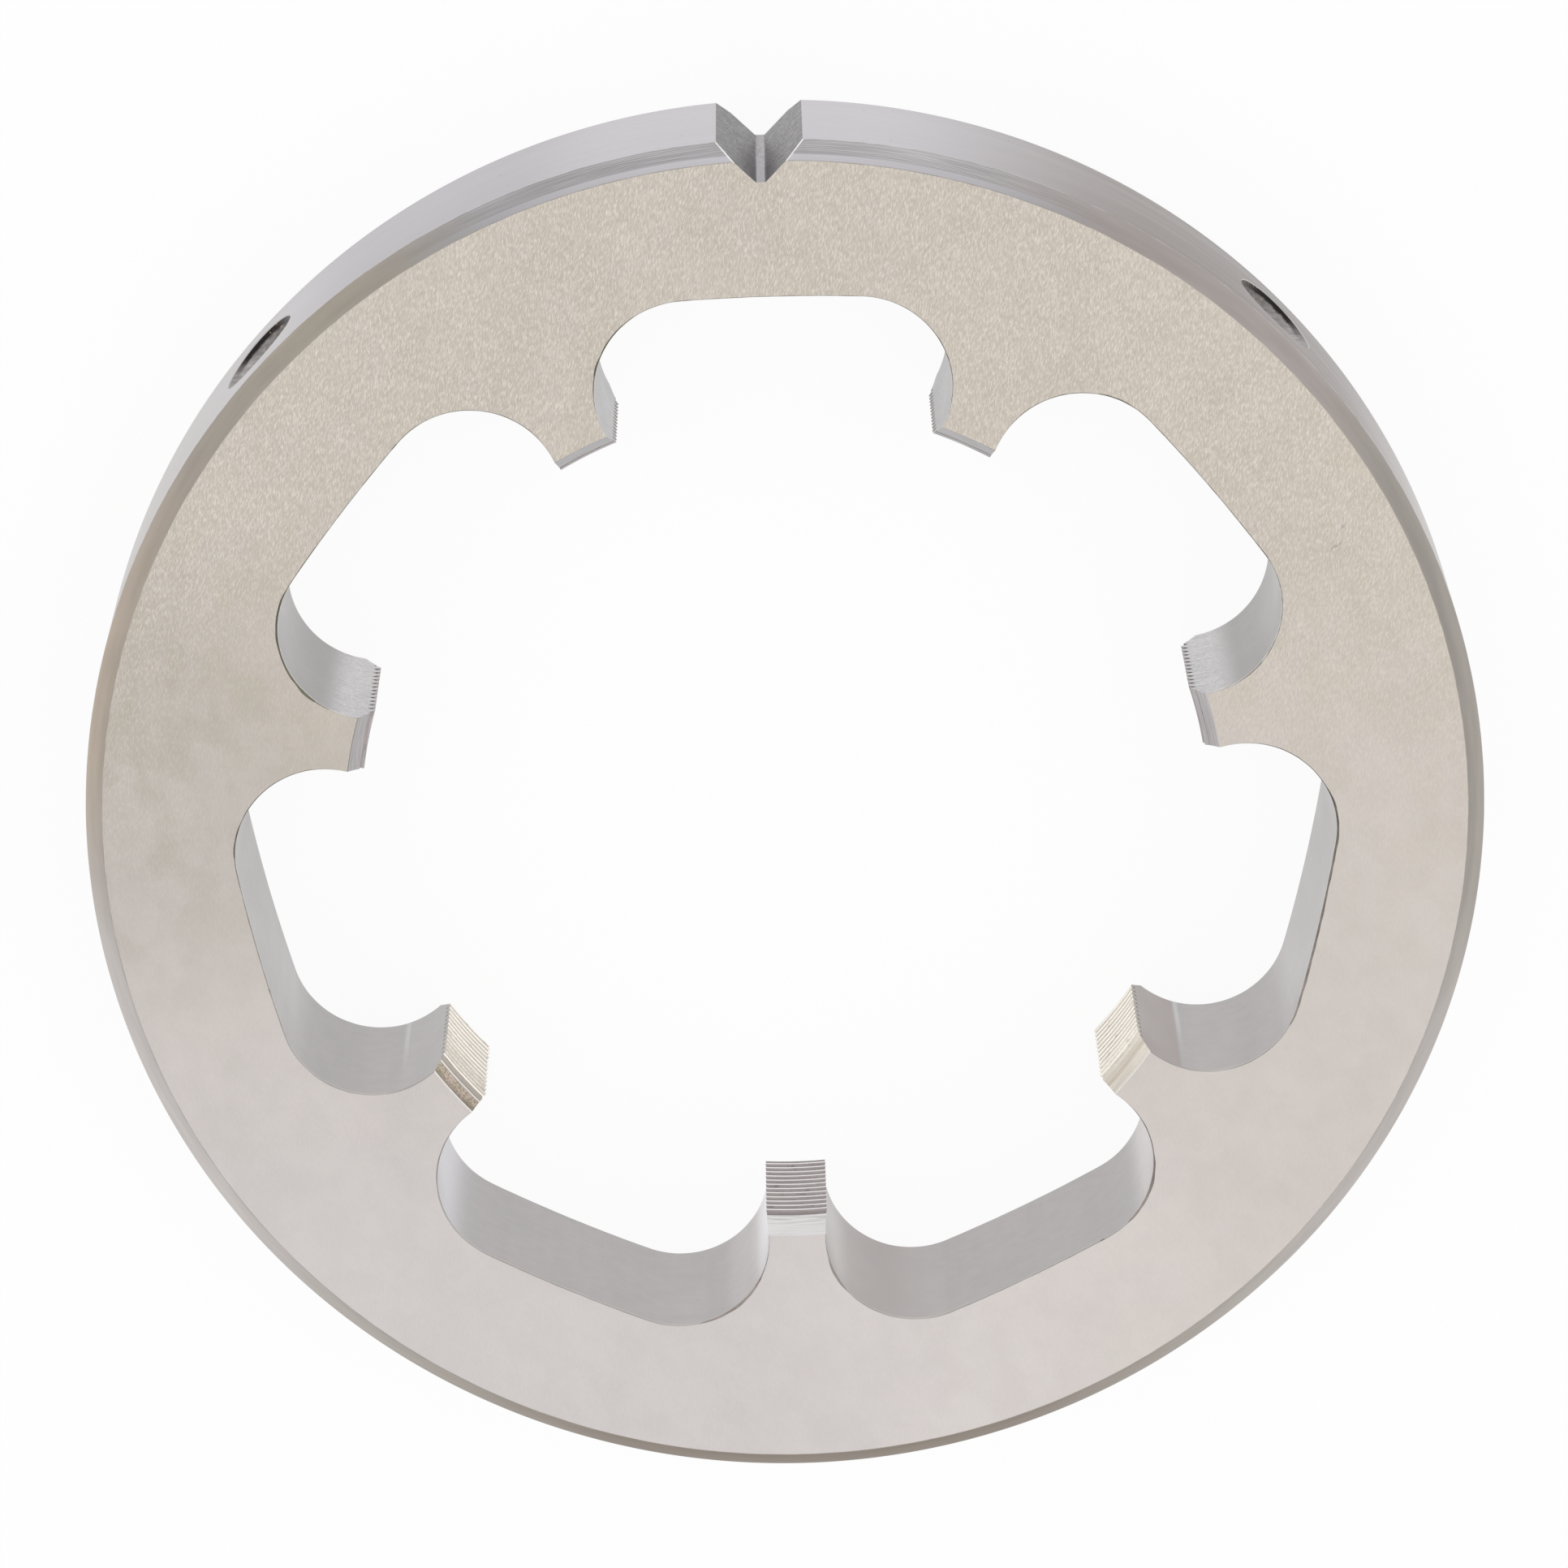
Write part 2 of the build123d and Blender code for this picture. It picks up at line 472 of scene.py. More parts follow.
def straw_land_bands(metal, colour, outward):
    """A painted highlight in an upright band on the walls 5 mm from the middle of each straw-coloured land,
    and brown between the right land and its band."""
    across = metal.maths("SUBTRACT", outward, straw_land_middle[0])
    along = metal.maths("SUBTRACT", metal.y, straw_land_middle[1])
    reach = metal.total(metal.distance(across, along), metal.rise(metal.x, 0, 5, -0.3, 0))
    band_edges = metal.product(metal.rise(reach, 5.1, 4.85), metal.rise(reach, 4.5, 4.7))
    # The painted highlight
    shine = metal.product(band_edges, metal.rise(metal.z, 14, 3), 0.5)
    colour = metal.blend(shine, colour, (0.64, 0.62, 0.63))
    brown = metal.product(metal.rise(reach, 4.7, 4.3), metal.rise(metal.x, 0, 5))
    return metal.blend(brown, colour, (0.37, 0.325, 0.315))


# The heights between which the lands' film thickens and their painted shade changes, towards the marked face
film_low = 9.0
film_high = 13.5


def cream_share(metal):
    """The share of straw-coloured film: the two lands beside the one opposite the notch have it."""
    outward = metal.maths("ABSOLUTE", metal.x)
    return metal.product(metal.rise(outward, 12, 20), metal.rise(metal.y, -6, -14))


def upper_share(metal):
    """One on the lands level with the die's middle and towards the notch, and none on the three others."""
    return metal.rise(metal.y, -18, -12)


def film_mottle(metal):
    """The share of brown speckle on the straw-coloured lands, thickest beside the lead-in cone."""
    by_cone = metal.product(cream_share(metal), metal.rise(metal.z, film_low - 0.5, film_high))
    speckle = metal.rise(metal.grain((0.2, 0.2, 0.18), detail=4), 0.44, 0.64)
    return metal.product(speckle, by_cone, metal.rise(metal.x, -10, 10, 0.7, 0.25))


def film_shade(metal):
    """How much the film dulls the land on the left, most beside the lead-in cone."""
    on_left = metal.product(cream_share(metal), metal.rise(metal.x, 0, -10))
    return metal.rise(on_left, 0, 1, 1, metal.rise(metal.z, film_low, film_high, 0.93, 0.76))


def crest_metal():
    """The thread's crests, with fine lines along them."""
    metal = Metal("thread_crest")
    along = metal.grain((2.2, 2.2, 0.08), detail=3)
    tint = metal.blend(cream_share(metal), (0.86, 0.83, 0.83), (0.9, 0.85, 0.77))
    tint = metal.blend(upper_share(metal), tint, (0.5, 0.48, 0.49))
    tint = metal.shaded(tint, metal.rise(along, 0.3, 0.7, 0.86, 1.04))
    tint = metal.shaded(tint, film_shade(metal))
    tint = metal.blend(film_mottle(metal), tint, (0.6, 0.52, 0.44))
    return metal.made(tint, 0.2, along, 0.002)


def groove_metal():
    """The thread's flanks, with fine lines along and across, a painted shadow under the crest above and
    painted shade towards the root."""
    metal = Metal("thread_groove")
    along = metal.grain((2.2, 2.2, 0.08), detail=3)
    across = metal.grain((0.13, 0.13, 1.4), detail=3)
    dash = metal.grain((0.9, 0.9, 0.12), detail=2)
    cream = cream_share(metal)
    tint = metal.blend(cream, (0.5, 0.45, 0.445), (0.88, 0.82, 0.73))
    tint = metal.shaded(tint, metal.rise(along, 0.3, 0.7, 0.9, 1.05))
    tint = metal.shaded(tint, metal.rise(across, 0.3, 0.7, 0.92, 1.05))
    tint = metal.shaded(tint, metal.rise(dash, 0.6, 0.7, 1, 0.72))
    tint = metal.shaded(tint, film_shade(metal))
    tint = metal.blend(film_mottle(metal), tint, (0.55, 0.47, 0.39))
    upper = upper_share(metal)
    on_cone = metal.rise(metal.z, die_thickness - lead_in_length - 0.2, die_thickness - lead_in_length)
    depth = metal.maths("SUBTRACT", metal.radius(), crest_radius)
    shade_start, shade_end = metal.rise(cream, 0, 1, 0.04, 0.07), metal.rise(cream, 0, 1, 0.26, 0.15)
    # A painted shadow just under the crest above
    under = metal.rise(depth, shade_start, shade_end)
    cream_shade = metal.rise(metal.z, film_low, film_high, 0.5, 0.75)
    other_shade = metal.rise(metal.product(upper, on_cone), 0, 1, 0.75, 1)
    shade = metal.rise(cream, 0, 1, other_shade, cream_shade)
    tint = metal.shaded(tint, metal.rise(under, 0, 1, 1, shade))
    # Painted shade, deeper towards the root
    start = metal.rise(upper, 0, 1, 0.3, 0.16)
    deep = metal.rise(depth, start, metal.total(start, 0.2))
    level_darkness = metal.rise(metal.z, film_low, film_high, 0.9, 0.7)
    darkness = metal.rise(metal.product(upper, on_cone), 0, 1, level_darkness, 0.15)
    tint = metal.blend(metal.product(deep, darkness), tint, (0.1, 0.09, 0.085))
    ring = metal.product(metal.rise(depth, 0.19, 0.22), metal.rise(depth, 0.31, 0.28))
    white_ring = metal.product(ring, on_cone, cream, metal.rise(metal.x, 0, -10))
    tint = metal.blend(white_ring, tint, (0.92, 0.87, 0.8))
    return metal.made(tint, 0.3, along, 0.002)


# Colours of the straw-coloured lands' cones, by how far out of the crests' radius they lie, and the
# banded film that the left one has over them
straw_stops = [
    (0.0, (0.95, 0.88, 0.78)), (0.25, (0.97, 0.9, 0.8)), (0.4, (0.87, 0.8, 0.7)),
    (0.5, (0.9, 0.83, 0.72)), (0.62, (0.82, 0.74, 0.63)), (0.74, (0.82, 0.74, 0.63)),
    (0.82, (0.98, 0.9, 0.79)), (1.4, (1.0, 0.94, 0.84)),
]
film_stops = [
    (0.0, (0.6, 0.55, 0.49)), (0.1, (0.97, 0.92, 0.85)), (0.24, (0.97, 0.92, 0.85)),
    (0.27, (0.4, 0.35, 0.3)), (0.31, (0.6, 0.55, 0.5)), (0.48, (0.57, 0.53, 0.48)),
    (0.52, (0.38, 0.33, 0.28)), (0.57, (1.0, 0.96, 0.9)), (0.63, (1.0, 0.96, 0.9)),
    (0.69, (0.4, 0.34, 0.27)), (1.24, (0.38, 0.32, 0.25)), (1.29, (0.3, 0.24, 0.19)),
    (1.32, (1.0, 0.99, 0.97)), (1.4, (1.0, 0.99, 0.97)),
]


def cone_film(metal, out):
    """The left cone's film: bands round the axis, the widest of them mottled in browns."""
    blot = metal.rise(metal.grain((0.22, 0.22, 0.2), detail=5), 0.38, 0.68)
    hue = metal.rise(metal.grain((1.2, 1.2, 0.8), detail=2), 0.42, 0.58)
    brown = metal.blend(blot, metal.blend(hue, (0.6, 0.5, 0.44), (0.5, 0.45, 0.36)), (0.32, 0.26, 0.19))
    brown = metal.shaded(brown, metal.rise(out, 1.22, 0.95, 1.0, 1.35))
    mottled = metal.product(metal.rise(out, 0.67, 0.72), metal.rise(out, 1.28, 1.22))
    return metal.blend(mottled, metal.ramp(out, *film_stops), brown)


def lead_in_metal():
    """The lead-in cones, each land with its own grinding: white opposite the notch as a painted reflection,
    straw beside it with a banded brown film on one land, and grey on the others. A painted highlight runs
    along the edge at the face of the straw-coloured lands."""
    metal = Metal("lead_in_cone")
    out = metal.maths("SUBTRACT", metal.radius(), crest_radius)
    line = metal.grain((3, 3, 0.1), detail=3)
    cream = cream_share(metal)
    opposite = metal.rise(metal.y, -24, -34)
    colour = metal.blend(metal.rise(metal.y, 10, 20), (0.47, 0.445, 0.45), (0.39, 0.375, 0.38))
    # White opposite the notch, a painted reflection
    colour = metal.blend(opposite, colour, (0.97, 0.95, 0.95))
    colour = metal.blend(cream, colour, metal.ramp(out, *straw_stops))
    smooth = metal.maths("MAXIMUM", cream, metal.product(opposite, metal.rise(out, 0.5, 0.9)))
    line_shade = metal.rise(smooth, 0, 1, 0.74, 0.92)
    colour = metal.shaded(colour, metal.rise(line, 0.32, 0.6, line_shade, 1.04))
    on_left = metal.product(cream, metal.rise(metal.x, 0, -10))
    colour = metal.blend(on_left, colour, cone_film(metal, out))

    # A line along the edge at the face: a painted highlight on the straw-coloured lands, darker on the
    # others
    by_face = metal.rise(out, lead_in_width - 0.11, lead_in_width - 0.08)
    face_line = metal.product(by_face, metal.rise(opposite, 1, 0))
    light_line = metal.blend(cream, (0.6, 0.57, 0.54), (1.0, 0.96, 0.91))
    dark_line = metal.maths("MAXIMUM", metal.rise(metal.y, 15, 20), metal.rise(metal.x, -34, -35))
    colour = metal.blend(face_line, colour, metal.blend(dark_line, light_line, (0.29, 0.275, 0.265)))
    # Less metallic where the cone is painted white
    white = metal.maths("MAXIMUM", opposite, metal.product(by_face, cream))
    metal.feed(metal.shader.inputs["Metallic"], metal.rise(white, 0, 1, 1, 0.25))
    return metal.made(colour, 0.25, line, 0.002)


def notch_metal(name, colour, other, root_shade_colour):
    """A rough saw cut: mottled and torn, darker on its left side as painted shade, with a painted shadow low
    down by its root.
    """
    metal = Metal(name)
    coarse = metal.grain((0.5, 0.5, 0.4), detail=5)
    fine = metal.grain((0.1, 0.1, 0.13), detail=3)
    share = metal.rise(metal.total(metal.product(coarse, 0.45), metal.product(fine, 0.55)), 0.4, 0.6)
    tint = metal.blend(share, colour, other)
    # Painted shade on the left side
    tint = metal.shaded(tint, metal.rise(metal.x, -1, 1, 0.78, 1.0))
    vein = metal.maths("ABSOLUTE", metal.maths("SUBTRACT", metal.grain((0.6, 0.6, 0.6), detail=3), 0.5))
    tint = metal.shaded(tint, metal.rise(vein, 0, 0.035, 0.62, 1))
    # A painted shadow along the root
    by_root = metal.rise(metal.y, notch_floor_y + 1.3, notch_floor_y + 0.2)
    tint = metal.blend(metal.product(by_root, metal.rise(metal.z, 6, 15), 0.7), tint, root_shade_colour)
    return metal.made(tint, 0.4, share, 0.025)


def seat_metal():
    """A drilled cone in painted light and shade: dark towards the notch with a painted shadow just inside
    its lower lip, lighter and streaked away from the notch, with a few rust specks and a thin painted
    highlight round its mouth."""
    metal = Metal("screw_seat")
    blot = metal.grain((0.7, 0.7, 0.7), detail=5)
    streak = metal.grain((1.4, 0.3, 0.3), detail=4)
    depth = metal.maths("SUBTRACT", die_radius, metal.radius())
    # Painted shade towards the notch and painted light away from it
    from_notch = metal.rise(metal.y, 44.8, 38.8)
    colour = metal.blend(from_notch, (0.12, 0.108, 0.1), (0.42, 0.4, 0.395))
    colour = metal.shaded(colour, metal.rise(streak, 0.38, 0.62, 0.84, 1.14))
    colour = metal.shaded(colour, metal.rise(blot, 0.3, 0.7, 0.92, 1.08))
    ragged = metal.total(depth, metal.product(metal.maths("SUBTRACT", blot, 0.5), 0.25))
    lip_reach = metal.product(metal.rise(metal.y, 44.6, 42.4), metal.rise(metal.y, 38.2, 40))
    lip_shadow = metal.product(metal.rise(ragged, 0.56, 0.34), lip_reach)
    colour = metal.blend(lip_shadow, colour, (0.035, 0.03, 0.03))
    speck = metal.rise(metal.grain((0.25, 0.25, 0.25), detail=2), 0.64, 0.7)
    rust_x, rust_y = 41.9, 42.4
    right_patch, left_patch = (metal.near(x, rust_y, 0.7, 1.7) for x in (rust_x, -rust_x))
    rust = metal.product(speck, metal.maths("MAXIMUM", right_patch, left_patch))
    colour = metal.blend(rust, colour, (0.62, 0.42, 0.24))
    # A thin painted highlight round the mouth
    mouth = metal.rise(metal.radius(), die_radius - 0.09, die_radius - 0.06)
    colour = metal.blend(mouth, colour, (0.6, 0.59, 0.585))
    return metal.made(colour, 0.42, blot, 0.01)


side_grey = (0.56, 0.53, 0.51)
# Near-white colours of the notch's and flutes' bevels: real bevels with a painted highlight
bevel_highlight = ((0.97, 0.96, 0.95), (0.85, 0.84, 0.83))

# The surfaces of the die, in the order of its material slots
surfaces = {
    "marked_face": ground_metal("ground_face", 0.5),
    "plain_face": ground_metal("ground_underside", 0),
    "rim": turned_metal("turned_rim", (0.6, 0.575, 0.61), side_grey, 0.2, 0.02, 0.6),
    "marked_chamfer": chamfer_metal(),
    "plain_chamfer": turned_metal("lower_chamfer", (0.6, 0.58, 0.6), side_grey, 0.12, 0.06, 0.3),
    "eased_corner": edge_metal("eased_corner", (0.64, 0.62, 0.62), (0.46, 0.44, 0.42), 0.28),
    "face_corner": edge_metal("face_corner", (0.5, 0.47, 0.43), (0.4, 0.375, 0.34), 0.3),
    "burnished_edge": edge_metal("burnished_edge", *bevel_highlight, 0.2),
    "flute_burnish": edge_metal("flute_burnish", *bevel_highlight, 0.26, far_colour=(0.64, 0.61, 0.59)),
    "lead_in": lead_in_metal(),
    "crest": crest_metal(),
    "groove": groove_metal(),
    "flute_wall": flute_metal(),
    "edge_break": flute_edge_metal(),
    "faint_break": edge_metal(
        "faint_flute_edge", (0.62, 0.6, 0.57), (0.36, 0.33, 0.29), 0.34, far_colour=(0.56, 0.53, 0.5)
    ),
    "notch_wall": notch_metal("notch_wall", (0.22, 0.21, 0.215), (0.42, 0.41, 0.415), (0.15, 0.135, 0.15)),
    "notch_floor": notch_metal("notch_floor", (0.44, 0.43, 0.44), (0.6, 0.58, 0.6), (0.44, 0.42, 0.45)),
    "seat": seat_metal(),
}
surface_order = list(surfaces)


def swept(name, sections, region_of, closed=False, cap_region=None):
    """A closed mesh through sections of equally many points. region_of(i, j) names the surface of the
    face between sections i and i + 1 that starts at point j."""
    count = len(sections[0])
    steps = len(sections) if closed else len(sections) - 1
    faces, regions = [], []
    for i in range(steps):
        low = i * count
        high = (i + 1) % len(sections) * count
        for j in range(count):
            k = (j + 1) % count
            faces.append((low + j, low + k, high + k, high + j))
            regions.append(surface_order.index(region_of(i, j)))
    if not closed:
        last = (len(sections) - 1) * count
        faces.append(tuple(reversed(range(count))))
        faces.append(tuple(range(last, last + count)))
        regions += [surface_order.index(cap_region)] * 2
    mesh = bpy.data.meshes.new(name)
    mesh.from_pydata([point for section in sections for point in section], [], faces)
    mesh.polygons.foreach_set("material_index", regions)
    for material in surfaces.values():
        mesh.materials.append(material)
    shape = bmesh.new()
    shape.from_mesh(mesh)
    bmesh.ops.recalc_face_normals(shape, faces=shape.faces[:])
    shape.to_mesh(mesh)
    shape.free()
    piece = bpy.data.objects.new(name, mesh)
    bpy.context.scene.collection.objects.link(piece)
    return piece


def turned(points, angle):
    """Points turned about Z by an angle in degrees."""
    turn = Matrix.Rotation(radians(angle), 3, "Z")
    return [turn @ Vector(point) for point in points]


def eased(points, corners, ease, steps=3):
    """A closed outline with the numbered corners rounded. Gives its points, and for each point the
    number of the outline's side that starts there, or None on a rounding."""
    rounded, sides = [], []
    for index, point in enumerate(points):
        here = Vector(point)
        if index not in corners:
            rounded.append(here)
            sides.append(index)
            continue
        before = (Vector(points[index - 1]) - here).normalized()
        after = (Vector(points[(index + 1) % len(points)]) - here).normalized()
        half = before.angle(after) / 2
        centre = here + (before + after).normalized() * (ease / sin(half))
        start = here + before * (ease / tan(half)) - centre
        sweep = (pi - 2 * half) * (1 if before.cross(after) < 0 else -1)
        for step in range(steps + 1):
            rounded.append(centre + Matrix.Rotation(sweep * step / steps, 2) @ start)
            sides.append(None if step < steps else index)
    return rounded, sides


def blank():
    """The ring with its rim chamfers, crest bore and lead-in cones."""
    side_names = (
        "plain_face", "plain_chamfer", "rim", "marked_chamfer",
        "marked_face", "lead_in", "crest", "lead_in",
    )
    outline = [
        (crest_radius + lead_in_width, 0),
        (die_radius - plain_face_chamfer, 0),
        (die_radius, plain_face_chamfer),
        (die_radius, die_thickness - marked_face_chamfer),
        (die_radius - marked_face_chamfer, die_thickness),
        (crest_radius + lead_in_width, die_thickness),
        (crest_radius, die_thickness - lead_in_length),
        (crest_radius, lead_in_length),
    ]
    points, sides = eased(outline, {1, 2, 3, 4}, rim_corner_ease)
    sections = [
        turned([(point.x, 0, point.y) for point in points], index * 360 / ring_segments)
        for index in range(ring_segments)
    ]

    def region_of(_, j):
        if sides[j] is not None:
            return side_names[sides[j]]
        return "eased_corner" if points[j].x > die_radius - rim_corner_ease else "face_corner"

    return swept("die", sections, region_of, closed=True)


def flute_outline():
    """One flute seen along Z, a corner arc beside each land and the outer wall between them, with the
    direction straight out of it at each point."""
    half_step = pi / flute_count
    neck_radius = crest_radius + land_neck_depth
    corner_offset = land_neck_width / 2 + flute_corner_radius
    corner_x = neck_radius * sin(half_step) - corner_offset * cos(half_step)
    corner_y = neck_radius * cos(half_step) + corner_offset * sin(half_step)
    wall_centre_y = corner_y - sqrt((flute_wall_radius - flute_corner_radius) ** 2 - corner_x**2)
    lean = atan2(corner_x, corner_y - wall_centre_y)
    out = [Vector((sin(a), cos(a))) for a in np.linspace(lean, pi, flute_corner_segments + 1)]
    right = [(Vector((corner_x, corner_y)) + flute_corner_radius * way, way) for way in out]
    left = [(Vector((-p.x, p.y)), Vector((-way.x, way.y))) for p, way in reversed(right)]
    wall_out = [Vector((sin(a), cos(a))) for a in np.linspace(-lean, lean, flute_wall_segments + 1)[1:-1]]
    wall = [(Vector((0, wall_centre_y)) + flute_wall_radius * way, way) for way in wall_out]
    return right + left + wall


def break_widths(runs, chance):
    """Hand-filed edge break widths round a flute: narrow, least by the lands, and wider in the runs."""
    corner = np.linspace(0, 180, flute_corner_segments + 1)
    station = np.concatenate([corner, -corner[::-1], np.zeros(flute_wall_segments - 1)])
    by_land = np.clip((np.abs(station) - land_arc_start) / land_arc_reach, 0, 1)
    width = flute_edge_break * (1 - land_break_loss * by_land)
    for middle, half_span, widest in runs:
        reach = np.clip(1 - ((station - middle) / half_span) ** 2, 0, 1)
        width = np.maximum(width, widest * np.sqrt(reach))
    way = np.linspace(0, 2 * pi, len(width), endpoint=False)
    waves = sum(np.sin(way * k + chance.uniform(0, 2 * pi)) for k in filing_waves)
    return width * (1 + filing_unevenness * waves / len(filing_waves))


def flute_cutter(index, chance):
    """A straight flute through the die, with its edge broken by hand at both faces."""
    outline = flute_outline()
    low, high = break_widths([], chance), break_widths(filed_runs[index], chance)
    lean = flute_bevel_width / 3
    levels = [
        [(width + overcut, -overcut) for width in low],
        [(0, width) for width in low],
        [(0, die_thickness - width - flute_bevel_width) for width in high],
        [(lean, die_thickness - width) for width in high],
        [(width + lean + overcut, die_thickness + overcut) for width in high],
    ]
    sections = []
    for level in levels:
        spots = [(*(point + way * grown), z) for (point, way), (grown, z) in zip(outline, level)]
        sections.append(turned(spots, flute_turn + index * 360 / flute_count))

    def region_of(i, j):
        if i in (1, 2):
            return ("flute_wall", "flute_burnish")[i - 1]
        width = (low if i == 0 else high)[j]
        return "edge_break" if width > filed_from * flute_edge_break else "faint_break"

    return swept("flute_cutter", sections, region_of, cap_region="edge_break")


def thread_cutter():
    """The left-hand thread's groove: a V section carried down the bore as it turns anticlockwise.
    opening is half its width at the crests."""
    slope = tan(radians(thread_flank_angle))
    opening = thread_pitch * 3 / 8
    root = opening - (thread_root_radius - crest_radius) * slope
    section = [
        (crest_radius - thread_overreach, -(opening + thread_overreach * slope)),
        (thread_root_radius, -root),
        (thread_root_radius, root),
        (crest_radius - thread_overreach, opening + thread_overreach * slope),
    ]
    top = die_thickness + thread_turns_above * thread_pitch + thread_phase
    turns = ceil(die_thickness / thread_pitch) + thread_spare_turns
    sections = []
    for step in range(turns * thread_steps_per_turn + 1):
        angle = 2 * pi * step / thread_steps_per_turn
        z = top - thread_pitch * angle / (2 * pi)
        sections.append([(r * cos(angle), r * sin(angle), z + rise) for r, rise in section])
    return swept("thread_cutter", sections, lambda i, j: "groove", cap_region="groove")


def notch_cutter():
    """The straight V notch in the rim, with its narrow floor."""
    half_floor = notch_floor_width / 2
    reach = die_radius + overcut - notch_floor_y
    half_mouth = half_floor + reach * tan(radians(notch_angle / 2))
    outline = [
        (-half_floor, notch_floor_y),
        (half_floor, notch_floor_y),
        (half_mouth, notch_floor_y + reach),
        (-half_mouth, notch_floor_y + reach),
    ]
    points, sides = eased(outline, {0, 1}, notch_root_ease)
    sections = [[(x, y, z) for x, y in points] for z in (-overcut, die_thickness + overcut)]

    def region_of(_, j):
        return "notch_floor" if sides[j] == 0 else "notch_wall"

    return swept("notch_cutter", sections, region_of, cap_region="notch_wall")


def bevel_cutter(start, end, one_way, other_way, size):
    """A thin bevel along a straight edge, between surfaces that face one_way and other_way."""
    along = (end - start).normalized()
    one_inset = one_way.cross(along)
    one_inset *= -1 if one_inset.dot(other_way) > 0 else 1
    other_inset = other_way.cross(along)
    other_inset *= -1 if other_inset.dot(one_way) > 0 else 1
    outside = (one_way + other_way).normalized() * bevel_overreach
    sections = []
    for spot in (start - along * size / 3, end + along * size / 3):
        sections.append([spot + one_inset * size, spot + outside, spot + other_inset * size])
    return swept("bevel_cutter", sections, lambda i, j: "burnished_edge", cap_region="burnished_edge")


def notch_bevels():
    """The bevels where the notch's walls meet the marked face's chamfer, bright with a painted highlight.
    Each round brings y nearer to where the wall crosses the circle at that end."""
    slope = tan(radians(notch_angle / 2))
    half_floor = notch_floor_width / 2
    cutters = []
    for side in (-1, 1):
        corners = []
        for radius, z in (
            (die_radius, die_thickness - marked_face_chamfer),
            (die_radius - marked_face_chamfer, die_thickness),
        ):
            y = notch_floor_y
            for _ in range(crossing_rounds):
                y = sqrt(radius**2 - (half_floor + (y - notch_floor_y) * slope) ** 2)
            corners.append(Vector((side * (half_floor + (y - notch_floor_y) * slope), y, z)))
        wall_way = Vector((-side, slope, 0)).normalized()
        chamfer_way = Vector((corners[0].x / die_radius, corners[0].y / die_radius, 1)).normalized()
        cutters.append(bevel_cutter(*corners, wall_way, chamfer_way, notch_bevel))
    return cutters


def seat_cutter(angle):
    """One conical screw seat, drilled square to the rim at half the die's thickness."""
    slope = tan(radians(seat_cone_angle / 2))
    depth = seat_diameter / 2 / slope
    sections = []
    for y in (die_radius - depth + seat_tip, die_radius + overcut):
        radius = (y - die_radius + depth) * slope
        circle = [
            (radius * cos(turn), y, die_thickness / 2 + radius * sin(turn))
            for turn in np.linspace(0, 2 * pi, seat_segments, endpoint=False)
        ]
        sections.append(turned(circle, -angle))
    return swept("seat_cutter", sections, lambda i, j: "seat", cap_region="seat")


def cut(piece, cutters):
    """Takes the cutters out of the piece and removes them."""
    for cutter in cutters:
        step = piece.modifiers.new(cutter.name, "BOOLEAN")
        step.operation = "DIFFERENCE"
        step.solver = "MANIFOLD"
        step.material_mode = "INDEX"
        step.object = cutter
    bpy.context.view_layer.update()
    whole = piece.evaluated_get(bpy.context.evaluated_depsgraph_get())
    mesh = bpy.data.meshes.new_from_object(whole)
    piece.modifiers.clear()
    piece.data = mesh
    for cutter in cutters:
        bpy.data.objects.remove(cutter)


def finished(piece):
    """Brings the piece to metres, joins points that cuts left in one spot and sets its sharp edges."""
    piece.data.transform(Matrix.Scale(MM, 4))
    shape = bmesh.new()
    shape.from_mesh(piece.data)
    bmesh.ops.remove_doubles(shape, verts=shape.verts[:], dist=merge_reach * MM)
    for face in shape.faces:
        face.smooth = True
    for edge in shape.edges:
        edge.smooth = edge.is_manifold and edge.calc_face_angle() < radians(sharp_angle)
    shape.to_mesh(piece.data)
    shape.free()


def round_die():
    """The blank, cut by the flutes, notch and seats, then by the thread and the notch's bevels."""
    chance = np.random.default_rng(filing_seed)
    die = blank()
    flutes = [flute_cutter(index, chance) for index in range(flute_count)]
    seats = [seat_cutter(angle) for angle in seat_angles]
    cut(die, flutes + [notch_cutter()] + seats)
    cut(die, [thread_cutter()] + notch_bevels())
    finished(die)
    return die


die = round_die()
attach(die, "root")
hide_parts("round_die")


# Floor, light and camera. The floor is a hair below the die, because faces in one plane flicker
floor_reach = 3000.0
floor_clearance = 0.02
floor_white = 0.95
floor_glow = 0.93

# The studio's soft boxes: a direction, the cosines of the outer and inner edge, and the strength
surround_strength = 0.58
soft_boxes = [
    ((0.1, -0.35, 0.93), 0.2, 0.95, 0.4),
    ((0.7, 0.2, 0.66), 0.82, 0.97, 0.45),
    ((-0.7, 0.2, 0.66), 0.82, 0.97, 0.45),
    ((0, 1, 0.02), 0.82, 0.97, 0.5),
]

camera_place = (2.836, 210.794, 634.579)
camera_right = (0.9993, -0.03657, 0.00767)
camera_up = (0.03711, 0.94749, -0.31763)
camera_lens = 175.0
camera_sensor = 36.0


